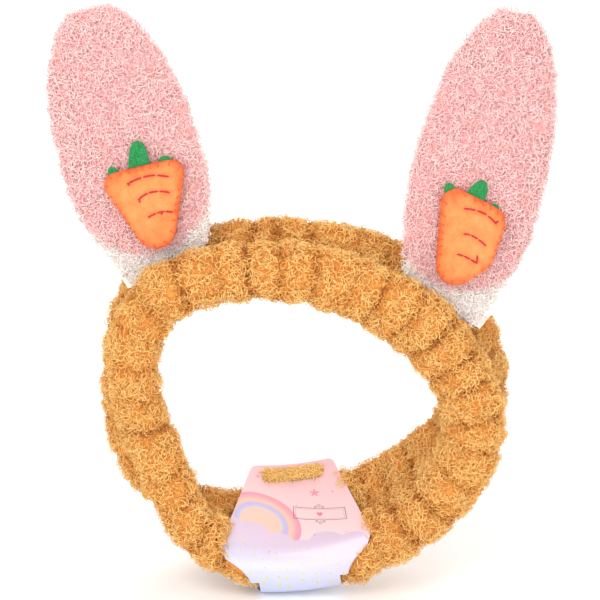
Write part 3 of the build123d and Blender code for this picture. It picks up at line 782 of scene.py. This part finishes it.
def make_ear_plush(side):
    ear = ear_frame(side)
    x, y, z, turn = ear_surface(side)
    local = np.stack([x, y, z], -1)
    points = placed(ear, local)
    normals, faces, layout = round_grid(points, placed(ear, np.stack([x / 2, y * 0, z], -1)))
    pink = pink_zone(side, x, z, turn)
    face_pink = pink.reshape(-1)[faces].mean(1) > 0.5

    def settle_bent(piece, slot, *nodes):
        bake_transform(piece)
        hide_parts(*nodes)

    flat = points.reshape(-1, 3)
    for part, chosen, material, slot in (
        ("front", face_pink, PINK_CLOTH, "pink_plush"), ("back", ~face_pink, CREAM_CLOTH, "cream_plush"),
    ):
        used, renumbered = np.unique(faces[chosen], return_inverse=True)
        cloth = mesh_piece(
            f"{side}_ear_{part}_cloth", flat[used], [renumbered.reshape(-1, 4)], layout[chosen], material
        )
        settle_bent(cloth, slot, f"{side}_ear_{part}", f"{side}_ear_wadding")

    rng = np.random.default_rng(SEED + (40 if side == "left" else 50))
    for part, cloth, zone, material in (
        ("pink", "front", pink, PINK_PILE), ("cream", "back", ~pink, CREAM_PILE),
    ):
        where, normal, _ = sample_grid(points, normals, zone.astype(float), EAR_CURLS, rng)
        order = np.argsort(where[:, 2])
        where, normal, share = tufts(where, normal, **EAR_TUFT, rng=rng)
        # Painted shade, darker between the tufts.
        painted_shade = EAR_TUFT_SHADE * (0.6 - share)
        for k, few in enumerate(np.array_split(order, math.ceil(EAR_CURLS / MOST_CURLS))):
            own = {"painted_shade": painted_shade[few]}
            pile = curls(f"{side}_ear_{part}_pile_{k + 1}", where[few], normal[few], own, rng, material)
            settle_bent(pile, f"{part}_plush", f"{side}_ear_{cloth}")


for side in EARS:
    make_ear_plush(side)


# ---------------------------------------------------------------- carrots
CARROT_BACK_Y = -8.6
CARROT_RIM_Y = -10.4
CARROT_FRONT_Y = -16.7
EDGE_STITCHES = 26
CARROT_TURNS = 260          # points round a carrot
CARROT_RINGS = 90           # from the middle of its front to the middle of its back
FRONT_RINGS = 0.72          # share of them that are on the front
SMALLEST_RING = 0.004       # of the carrot's size, where its caps are
EDGE_DIP = 0.3              # of the outline at each edge stitch
THREAD_R = 0.4
RED_PLY_R = 0.27
PLY_TURN_R = 0.24
PLY_TURN_MM = 2.2
DASH_LIFT = 0.34
DASH_POINTS = 17
LINE_DASHES = 3
LINE_STEPS = 120
DASH_GAP = 0.02
WHIP_R = 0.30
# A whip stitch over the edge: shares of the way to the edge, and how far back its last points are.
WHIP_SHARES = np.array([0.90, 0.93, 0.96, 0.985, 1.0, 1.012, 1.012, 1.0, 0.97])
WHIP_BACK = np.array([0.5, 1.0, 1.6, 2.2])
WHIP_SLANT = 0.035
# Rounds that the outline is drawn round, leaves as place, width, height and lean, and sewn lines. Ticks
# are the ends of the thread that show beside the lines. The left carrot's lower end and its middle leaf
# are a little different from the CAD design's.
CARROTS = {
    "left": {
        "rounds": [(-8.0, 37.6, 6.7), (18.6, 37.1, 6.7), (3.8, 12.8, 10.0)],
        "leaves": {
            "middle": (5.3, 46.3, 10.5, 20.5, -13.0),
            "left": (-7.0, 41.6, 6.0, 12.0, 25.0),
            "right": (17.5, 41.6, 8.5, 9.0, -35.0),
        },
        "lines": [
            ((-2.0, 37.9), (9.0, 38.9), (18.5, 35.9)),
            ((1.0, 29.3), (8.8, 31.1), (16.5, 28.3)),
            ((2.4, 19.5), (9.5, 20.6), (15.0, 18.7)),
        ],
        "ticks": [((-2.2, 38.1), (-1.6, 37.1)), ((1.0, 29.4), (1.3, 27.9)), ((9.4, 20.9), (9.9, 19.3))],
    },
    "right": {
        "rounds": [(-11.0, 44.0, 7.0), (6.5, 36.8, 9.2), (5.6, 20.5, 8.3), (-3.2, 14.2, 10.2)],
        "leaves": {
            "middle": (-1.7, 49.0, 9.5, 17.0, -14.0),
            "left": (-14.2, 48.0, 6.0, 11.0, 30.0),
            "right": (7.3, 43.5, 6.0, 8.0, -40.0),
        },
        "lines": [
            ((-7.5, 42.5), (2.3, 42.3), (10.1, 38.2)),
            ((-4.5, 30.5), (0.9, 30.2), (8.1, 26.4)),
            ((-5.5, 20.2), (0.0, 19.4), (5.1, 17.4)),
        ],
        "ticks": [((9.6, 38.3), (10.9, 39.9)), ((5.4, 17.2), (4.4, 21.6))],
    },
}


def carrot_radius(side, turn):
    """Middle of a carrot, and the distance from there to its edge in the directions turn."""
    rounds = np.array(CARROTS[side]["rounds"])
    middle = rounds[:, :2].mean(0)
    around = np.linspace(0, math.tau, 90, endpoint=False)
    circle = np.stack([np.cos(around), np.sin(around)], -1)
    rim = (rounds[:, None, :2] + rounds[:, None, 2:] * circle).reshape(-1, 2)
    # The outline's supporting lines, and the nearest of them along each direction.
    directions = np.linspace(0, math.tau, 720, endpoint=False)
    normals = np.stack([np.cos(directions), np.sin(directions)], -1)
    reach = ((rim - middle) @ normals.T).max(0)
    facing = np.cos(np.asarray(turn)[..., None] - directions)
    return middle, np.where(facing > 0.05, reach / np.maximum(facing, 0.05), np.inf).min(-1)


def line_points(line, count):
    """Points along the bowed line through three points."""
    start, middle, end = (np.array(p) for p in line)
    t = np.linspace(0, 1, count)[:, None]
    control = 2 * middle - (start + end) / 2
    return (1 - t) ** 2 * start + 2 * t * (1 - t) * control + t**2 * end


def carrot_front(side, x, z):
    """How far forward (y, negative) a carrot's front cloth is at places (x, z) of its ear."""
    middle, _ = carrot_radius(side, np.zeros(1))
    turn = np.arctan2(z - middle[1], x - middle[0])
    edge = carrot_radius(side, turn)[1]
    share = np.clip(np.hypot(x - middle[0], z - middle[1]) / edge, 0, 1)
    dome = np.cos(np.arcsin(np.clip(share**1.3, 0, 1))) ** 0.62
    sag = 0.35 * waves(x, z, 13, SEED + (60 if side == "left" else 61))
    # The sewn lines pull the cloth down, and the edge stitches pinch it.
    pull = 0
    for line in CARROTS[side]["lines"]:
        path = line_points(line, 40)
        away = np.sqrt(((np.stack([x, z], -1)[..., None, :] - path) ** 2).sum(-1)).min(-1)
        pull = pull + 1.0 * np.exp(-((away / 1.5) ** 2))
    stitch = np.clip(np.cos(EDGE_STITCHES * turn), 0, 1) ** 2
    pinch = 0.6 * stitch * smooth((share - 0.84) / 0.1) * (1 - share**12)
    rib = 0.06 * np.sin(math.tau * (x * 0.94 + z * 0.34) / 1.15)
    inside = (sag - pull + rib) * smooth((1 - share) * 6)
    rise = (CARROT_RIM_Y - CARROT_FRONT_Y) * dome + inside - pinch * 0.8
    return CARROT_RIM_Y - np.maximum(rise, 0)


def carrot_thread(side, name, paths, radius, material, slot, node):
    """Closed tubes along paths in the ear's own frame, as thread on its carrot."""
    ear = ear_frame(side)
    paths = placed(ear, paths)
    ahead = np.broadcast_to(-ear["y"], (len(paths), 3))
    made = tubes(f"{side}_carrot_{name}", paths, radius, ahead, material, sides=8)
    settle(made, f"{side}_ear", slot, f"{side}_carrot_{node}")


def make_carrot_cushion(side):
    turn = np.arange(CARROT_TURNS) / CARROT_TURNS * math.tau
    middle, edge = carrot_radius(side, turn)
    edge = edge - EDGE_DIP * np.clip(np.cos(EDGE_STITCHES * turn), 0, 1) ** 2
    ring = np.linspace(SMALLEST_RING, 1, CARROT_RINGS)[:, None]
    on_front = ring < FRONT_RINGS
    behind = np.cos((ring - FRONT_RINGS) / (1 - FRONT_RINGS) * np.pi / 2)
    share = np.where(on_front, np.sin(ring / FRONT_RINGS * np.pi / 2), behind)
    share = np.maximum(share, SMALLEST_RING)
    x = middle[0] + share * edge * np.cos(turn)
    z = middle[1] + share * edge * np.sin(turn)
    back = CARROT_RIM_Y + (CARROT_BACK_Y - CARROT_RIM_Y) * np.clip(1 - share**3, 0, 1) ** 0.6
    y = np.where(on_front, carrot_front(side, x, z), back + 0 * turn)
    points = placed(ear_frame(side), np.stack([x, y, z], -1))
    cushion = capped_piece(f"{side}_carrot_cushion", points, CARROT_VELOUR)
    # The edge value sets the velour's painted shade towards the rim.
    set_value(cushion, "edge", (np.broadcast_to(share, x.shape) ** 5).reshape(-1))
    stands_for = [f"{side}_carrot_{part}" for part in ("front", "back", "filling")]
    settle(cushion, f"{side}_ear", "orange_cloth", *stands_for)


def make_red_stitches(side):
    """Dashes of two twisted plies that dive into the cloth at their ends."""
    dashes = []
    for line in CARROTS[side]["lines"]:
        whole = line_points(line, LINE_STEPS + 1)
        for k in range(LINE_DASHES):
            low = (k / LINE_DASHES + DASH_GAP) * LINE_STEPS
            high = ((k + 1) / LINE_DASHES - DASH_GAP) * LINE_STEPS
            dashes.append(np.array([whole[int(round(v))] for v in np.linspace(low, high, DASH_POINTS)]))
    dashes += [np.linspace(start, end, DASH_POINTS) for start, end in CARROTS[side]["ticks"]]
    plies = []
    along = np.linspace(0, 1, DASH_POINTS)
    for dash in dashes:
        reach = dash[-1] - dash[0]
        lift = DASH_LIFT - 1.1 * np.clip(np.abs(along - 0.5) * 2 - 0.8, 0, 1) * 5 * 0.6
        base = carrot_front(side, dash[:, 0], dash[:, 1]) - lift
        sideways = unit(np.array([-reach[1], reach[0]]))
        for phase in (0, math.pi):
            twist = along * np.linalg.norm(reach) / PLY_TURN_MM * math.tau + phase
            off = PLY_TURN_R * np.cos(twist)
            y = base + PLY_TURN_R * np.sin(twist)
            plies.append(np.stack([dash[:, 0] + sideways[0] * off, y, dash[:, 1] + sideways[1] * off], -1))
    carrot_thread(
        side, "red_stitches", np.array(plies), RED_PLY_R, RED_THREAD, "red_thread", "line_stitches"
    )


def make_whip_stitches(side):
    """Stitches over the carrot's edge, each a little slanted."""
    over = []
    for k in range(EDGE_STITCHES):
        at = k / EDGE_STITCHES * math.tau
        middle, edge = carrot_radius(side, np.array([at]))
        reach = WHIP_SHARES * (edge[0] - EDGE_DIP)
        turns = at + np.linspace(-WHIP_SLANT, WHIP_SLANT, len(WHIP_SHARES))
        x = middle[0] + reach * np.cos(turns)
        z = middle[1] + reach * np.sin(turns)
        y = carrot_front(side, x, z) - 0.18
        y[-len(WHIP_BACK):] = CARROT_RIM_Y + WHIP_BACK
        over.append(np.stack([x, y, z], -1))
    carrot_thread(
        side, "whip_stitches", np.array(over), WHIP_R, ORANGE_THREAD, "orange_thread", "edge_stitches"
    )


LEAF_ROWS = 34
LEAF_COLUMNS = 40
LEAF_T = 1.3
LEAF_Y = -10.2


def make_leaf(side, leaf, place, width, height, lean):
    """A felt leaf, blunt at its foot and rounded at its curled tip."""
    up, turn = np.meshgrid(
        np.linspace(SMALLEST_RING, 1 - SMALLEST_RING, LEAF_ROWS),
        np.arange(LEAF_COLUMNS) / LEAF_COLUMNS * math.tau, indexing="ij",
    )
    half = width / 2 * (1 - np.abs(2 * up - 1) ** 2.8) ** 0.55 * (1 - 0.12 * up)
    half = half * (1 + 0.05 * np.sin(9 * up + width))
    across = half * np.cos(turn)
    thick = LEAF_T / 2 * np.sign(np.sin(turn)) * np.abs(np.sin(turn)) ** 0.5 * np.minimum(1, half / 1.2)
    vein = 0.28 * np.exp(-((across / 0.5) ** 2)) * (np.sin(turn) < 0)
    y = LEAF_Y + thick + vein - 1.9 * up**2 - 0.45 * (across / (width / 2)) ** 2
    slope = math.radians(lean)
    rise = (up - 0.5) * height
    x = place[0] + across * math.cos(slope) - rise * math.sin(slope)
    z = place[1] + across * math.sin(slope) + rise * math.cos(slope)
    points = placed(ear_frame(side), np.stack([x, y, z], -1))
    made = capped_piece(f"{side}_carrot_{leaf}_leaf", points, GREEN_FELT)
    settle(made, f"{side}_ear", "green_felt", f"{side}_carrot_leaf_{leaf}")


for side in EARS:
    make_carrot_cushion(side)
    make_red_stitches(side)
    make_whip_stitches(side)
    for leaf, (x, z, width, height, lean) in CARROTS[side]["leaves"].items():
        make_leaf(side, leaf, (x, z), width, height, lean)


# ---------------------------------------------------------------- seams of the band
LONG_SEAM_STITCHES = 64
END_SEAM_STITCHES = 18
LONG_STITCH = 3.4
END_STITCH = 2.8
STITCH_LIFTS = np.array([-0.3, 0.25, 0.4, 0.25, -0.3])
NO_STITCH_TAG = 1.1         # stations either side of the card's middle, where the long seam is hidden
NO_STITCH_JOIN = 0.25


def seam_stitch(station, t, length):
    """Path of one stitch along the band through the cloth, round a station at share t."""
    reach = np.linspace(-length / 2, length / 2, len(STITCH_LIFTS)) / STATION_MM
    points, _ = band_surface(station + reach, np.full(len(STITCH_LIFTS), t))
    outwards = unit(points - section(station + reach)["centre"])
    return points + outwards * STITCH_LIFTS[:, None]


def make_seam(name, paths, node):
    paths = np.array(paths)
    made = tubes(f"band_{name}", paths, THREAD_R, unit(paths.mean(1)), YELLOW_THREAD, sides=8)
    settle(made, "band", "yellow_thread", node)


long_places = [STATIONS * k / LONG_SEAM_STITCHES for k in range(LONG_SEAM_STITCHES)]
make_seam("long_seam", [
    seam_stitch(s, INNER_MIDDLE, LONG_STITCH) for s in long_places
    if abs(s - TAG_STATION) > NO_STITCH_TAG and abs(s - SEAM_STATION) > NO_STITCH_JOIN
], "sleeve_long_seam")
make_seam("end_seam", [
    seam_stitch(SEAM_STATION, k / END_SEAM_STITCHES, END_STITCH) for k in range(END_SEAM_STITCHES)
], "sleeve_end_seam")


# ---------------------------------------------------------------- hang tag
FLUFF_CURLS = 2600
FLUFF_PAINTED_LIGHT = -0.7           # painted light, brighter than the band's fibres
ART_TILT = 0.28             # how much the print is out of square with the card
CARD_TONE = (232, 226, 228)


def tag_place(u, w, out):
    """Points on and near the card: u along the band, w up the front panel, out from its face."""
    flat = TAG_CUT["centre"] + TAG_UP * w[:, None] + TAG_OUTWARD * out[:, None]
    inward = (flat - TAG_AXIS) @ TAG_CUT["inward"]
    turn = u / (TAG_BEND_R - PANEL_OUT)
    sideways = TAG_CUT["tangent"] * (np.sin(turn) * inward)[:, None]
    swung = TAG_CUT["inward"] * (np.cos(turn) * inward)[:, None] - sideways
    return TAG_AXIS + swung + np.outer(flat[:, 1], (0, 1, 0))


def make_slot_fluff():
    """Fibres of the band that come through the card's slot and move with it."""
    rng = np.random.default_rng(SEED + 70)
    u = rng.uniform(-SLOT_HALF_W + 0.9, SLOT_HALF_W - 0.9, FLUFF_CURLS)
    w = SLOT_MIDDLE + rng.uniform(-SLOT_HALF_H + 1.3, SLOT_HALF_H - 0.3, FLUFF_CURLS)
    out = PANEL_OUT - rng.uniform(-1.2, 2.4, FLUFF_CURLS)
    place = tag_place(u, w, out)
    up = tag_place(u, w + 1, out) - place
    away = tag_place(u, w, out + 1) - place
    upwards = up * (0.3 + 0.12 * (w - SLOT_MIDDLE))[:, None]
    towards = unit(away * 0.9 + upwards + rng.normal(0, 0.25, place.shape))
    # Painted light: the slot's fibres are painted brighter than the band's, against their shade behind the
    # card.
    values = {"painted_shade": np.full(len(u), FLUFF_PAINTED_LIGHT)}
    fluff = curls("slot_fluff", place, towards, values, rng, YELLOW_PILE, 0.9)
    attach(fluff, "tag")


def card_places(nodes):
    """Sockets with u along the card and w up it, in millimetres over both panels and round their fold."""
    axis = TAG_AXIS * MM
    tangent, inward = TAG_CUT["tangent"], TAG_CUT["inward"]
    separate = nodes.tree.nodes.new("ShaderNodeSeparateXYZ")
    nodes.join(nodes.coords, separate.inputs[0])
    x, y, z = separate.outputs
    dx, dz = nodes.math("SUBTRACT", x, float(axis[0])), nodes.math("SUBTRACT", z, float(axis[2]))

    def dot(direction):
        upright = nodes.math("MULTIPLY", dz, float(direction[2]))
        return nodes.math("MULTIPLY_ADD", dx, float(direction[0]), upright)

    along, toward = dot(tangent), dot(inward)
    turn = nodes.math("ARCTAN2", along, nodes.math("MULTIPLY", toward, -1.0))
    u = nodes.math("MULTIPLY", turn, TAG_BEND_R - PANEL_OUT)
    squares = nodes.math("MULTIPLY_ADD", along, along, nodes.math("MULTIPLY", toward, toward))
    distance = nodes.math("SQRT", squares)
    depth = nodes.math("MULTIPLY_ADD", distance, -1 / MM, TAG_BEND_R)

    def across(direction):
        sideways = nodes.math("MULTIPLY", y, float(direction[1]) / MM)
        return nodes.math("MULTIPLY_ADD", depth, float(direction @ inward), sideways)

    below = nodes.math("MAXIMUM", nodes.math("SUBTRACT", PANEL_OUT, across(TAG_OUTWARD)), 0.0)
    level = nodes.math("MULTIPLY_ADD", u, ART_TILT, across(TAG_UP))
    return u, nodes.math("MULTIPLY_ADD", below, -0.75, level)


# The print, by its u and w in millimetres: sky, sun and cloud tones, rounds of the cloud's edge, the
# empty frame with its beads, a heart, stars and flecks.
PINK_SKY = (0.0, (253, 222, 224)), (0.6, (250, 212, 214)), (1.0, (247, 204, 208))
SUN = (-17.0, -9.0)
BOW_R = 19.8
BOW_TONES = (
    (0.0, (252, 208, 190)), (0.46, (252, 208, 190)), (0.50, (190, 206, 240)), (0.58, (200, 190, 230)),
    (0.68, (250, 206, 176)), (0.80, (240, 172, 186)), (0.90, (236, 156, 176)),
)
PUFFS = (
    (-31, -19, 9), (-20, -18, 8.5), (-8, -22, 9), (4, -24, 8.5), (15, -19, 9.5), (27, -21, 10), (36, -24, 7),
)
CLOUD_TONES = (0.0, (200, 216, 246)), (0.35, (214, 216, 242)), (0.7, (224, 210, 232)), (1.0, (222, 204, 226))
DOT_SPACING = 5.4
FRAME_AT = (12.5, 2.1)
FRAME_HALF = (13.0, 3.9)
FRAME_BEADS = [
    (a, b * way, r) for way in (1, -1) for a, b, r in ((-1.8, 5.0, 0.5), (0, 5.8, 0.7), (1.8, 5.0, 0.5))
]
HEART_R = 0.85
STARS = ((11.0, 16.6, 2.6), (-19.5, 22.0, 1.3))
FLECKS = (
    (20.5, 17.5, 0.8), (1.0, 7.0, 0.6), (9.0, -12.0, 0.7), (0.5, -12.5, 0.5), (24.0, -10.5, 0.5),
    (23.0, 6.0, 0.5),
)


def card_material(name):
    """Printed coated card: pink sky, a rainbow, clouds, dots, stars and an empty frame."""
    nodes = Nodes(name, roughness=0.35, coat=0.3)
    u, w = card_places(nodes)
    place = nodes.tree.nodes.new("ShaderNodeCombineXYZ")
    nodes.join(u, place.inputs[0])
    nodes.join(w, place.inputs[1])

    def away(point):
        node = nodes.tree.nodes.new("ShaderNodeVectorMath")
        node.operation = "DISTANCE"
        nodes.join(place.outputs[0], node.inputs[0])
        node.inputs[1].default_value = (*point, 0)
        return node.outputs["Value"]

    def less(value, limit, soft=0.15):
        """1 where value is under limit, with an edge as wide as soft."""
        node = nodes.tree.nodes.new("ShaderNodeMapRange")
        nodes.join(value, node.inputs["Value"])
        node.inputs["From Min"].default_value = limit + soft
        node.inputs["From Max"].default_value = limit - soft
        return node.outputs[0]

    def union(*masks):
        total = masks[0]
        for mask in masks[1:]:
            total = nodes.math("MAXIMUM", total, mask)
        return total

    def paint(colour, mask, new):
        return nodes.mix(mask, colour, linear(new) if isinstance(new, tuple) else new)

    def scaled(low, high):
        """w as a share of the way from low to high."""
        return nodes.math("MULTIPLY_ADD", w, 1 / (high - low), -low / (high - low))

    def off(value, middle):
        return nodes.math("ABSOLUTE", nodes.math("SUBTRACT", value, middle))

    def line(value, half, soft):
        return less(nodes.math("ABSOLUTE", value), half, soft)

    colour = nodes.ramp(scaled(-15, 35), *PINK_SKY)
    bow = nodes.ramp(nodes.math("MULTIPLY", away(SUN), 1 / 22.0), *BOW_TONES)
    colour = paint(colour, less(away(SUN), BOW_R, 0.25), bow)
    cloud = union(less(w, -24.0, 0.6), *[less(away((a, b)), r, 0.25) for a, b, r in PUFFS])
    colour = paint(colour, cloud, nodes.ramp(scaled(-50, -8), *CLOUD_TONES))
    cells = nodes.tree.nodes.new("ShaderNodeTexVoronoi")
    cells.voronoi_dimensions = "2D"
    cells.inputs["Scale"].default_value = 1 / DOT_SPACING
    cells.inputs["Randomness"].default_value = 0.5
    nodes.join(place.outputs[0], cells.inputs["Vector"])
    grow = nodes.math("MULTIPLY_ADD", scaled(-14, -45), 0.09, 0.06)
    dot_size = nodes.math("SUBTRACT", cells.outputs["Distance"], grow)
    dots = nodes.math("MULTIPLY", less(dot_size, 0.0, 0.025), less(w, -19.0, 2.0))
    colour = paint(colour, nodes.math("MULTIPLY", dots, 0.9), (222, 222, 120))

    off_u, off_w = off(u, FRAME_AT[0]), off(w, FRAME_AT[1])
    outside = [nodes.math("SUBTRACT", a, half) for a, half in zip((off_u, off_w), FRAME_HALF)]
    outside = nodes.math("MAXIMUM", *outside)
    inner = line(nodes.math("ADD", outside, 0.9), 0.12, 0.06)
    lines = [line(outside, 0.22, 0.08), nodes.math("MULTIPLY", inner, 0.6)]
    for a, b, r in FRAME_BEADS:
        ring = nodes.math("SUBTRACT", away((FRAME_AT[0] + a, FRAME_AT[1] + b)), r)
        lines.append(line(ring, 0.18, 0.08))
    colour = paint(colour, nodes.math("MULTIPLY", union(*lines), 0.85), (124, 104, 116))
    heart = [less(away((FRAME_AT[0] + a, FRAME_AT[1] + 0.45)), HEART_R, 0.1) for a in (-0.72, 0.72)]
    point = nodes.math("ADD", off_u, off(w, FRAME_AT[1] - 0.35))
    heart.append(less(point, 1.32, 0.1))
    colour = paint(colour, union(*heart), (232, 140, 158))

    def star(a, b, size, points):
        turned = nodes.math("ARCTAN2", nodes.math("SUBTRACT", u, a), nodes.math("SUBTRACT", w, b))
        wave = nodes.math("COSINE", nodes.math("MULTIPLY", turned, float(points)))
        reach = nodes.math("MULTIPLY_ADD", wave, 0.34 * size, 0.66 * size)
        return less(nodes.math("SUBTRACT", away((a, b)), reach), 0.0, 0.12)

    colour = paint(colour, union(*[star(*at, 5) for at in STARS]), (236, 152, 172))
    colour = paint(colour, union(*[star(*at, 4) for at in FLECKS]), (214, 160, 178))
    grain = nodes.noise(0.35, 2.0)
    nodes.bump(grain, 0.02, 0.25)
    shade = nodes.ramp(grain, (0.2, (248, 248, 248)), (0.8, (255, 255, 255)))
    toned = nodes.mix(1.0, colour, shade, "MULTIPLY")
    return nodes.finish(nodes.mix(1.0, toned, linear(CARD_TONE), "MULTIPLY"))


make_slot_fluff()
frame["nodes"]["hang_tag"].material_slots[0].material = card_material("printed_card")


# ---------------------------------------------------------------- CAD pieces that stay as they are
CAD_FINISHES = {
    "elastic_loop": ELASTIC, "elastic_join_stitches": CREAM_THREAD, "base_hem": CREAM_CLOTH,
    "base_stitches": YELLOW_THREAD, "wadding": FIBRE, "filling": FIBRE,
}

for name, node in frame["nodes"].items():
    for ending, material in CAD_FINISHES.items():
        if name.endswith(ending):
            for slot in node.material_slots:
                slot.material = material


# ---------------------------------------------------------------- stage, light and camera, in metres
FLOOR_HALF = 6.0
FLOOR_GAP = 0.0005
FLOOR_TONES = (0.3, (248, 247, 246)), (0.7, (253, 252, 251))
WORLD_COLOUR = (1.0, 0.995, 0.985, 1)
WORLD_STRENGTH = 0.78
LIGHTS = {                  # place, size and power
    "key": ((-0.55, -0.85, 1.05), 0.8, 9.0),
    "fill": ((0.9, -0.8, 0.45), 0.9, 4.0),
    "front": ((-0.1, -1.5, 0.35), 1.1, 10.0),
    "rim": ((0.25, 0.9, 0.9), 0.8, 7.0),
}
LIT_PLACE = (0, 0, 0.04)
VIEW_ELEVATION = math.radians(24.0)
VIEW_DISTANCE = 1.5
VIEW_TARGET = (-0.002, 0.0, 0.052)
LENS = 183.8
SENSOR = 36.0


def make_stage():
    mesh = bpy.data.meshes.new("floor")
    corners = [(a * FLOOR_HALF, b * FLOOR_HALF, 0) for a, b in ((-1, -1), (1, -1), (1, 1), (-1, 1))]
    mesh.from_pydata(corners, [], [(0, 1, 2, 3)])
    floor = link("floor", mesh)
    floor.location.z = cad_box[0].z - FLOOR_GAP
    nodes = Nodes("pale_floor", roughness=0.9)
    mesh.materials.append(nodes.finish(nodes.ramp(nodes.noise(300), *FLOOR_TONES)))

    world = bpy.data.worlds.new("studio")
    bpy.context.scene.world = world
    world.use_nodes = True
    background = world.node_tree.nodes["Background"]
    background.inputs["Color"].default_value = WORLD_COLOUR
    background.inputs["Strength"].default_value = WORLD_STRENGTH

    for name, (place, size, power) in LIGHTS.items():
        light = bpy.data.lights.new(name, "AREA")
        light.size = size
        light.energy = power
        lamp = link(name, light)
        lamp.location = place
        x, y, z = np.array(LIT_PLACE) - np.array(place)
        lamp.rotation_euler = (math.atan2(math.hypot(x, y), -z), 0, math.atan2(y, x) - math.pi / 2)

    camera = bpy.data.cameras.new("camera")
    camera.lens = LENS
    camera.sensor_width = SENSOR
    camera.clip_end = 50.0
    eye = link("camera", camera)
    back = np.array([0, -math.cos(VIEW_ELEVATION), math.sin(VIEW_ELEVATION)]) * VIEW_DISTANCE
    eye.location = np.array(VIEW_TARGET) + back
    eye.rotation_euler = (math.pi / 2 - VIEW_ELEVATION, 0, 0)
    bpy.context.scene.camera = eye
    bpy.context.scene.view_settings.view_transform = "Standard"


make_stage()
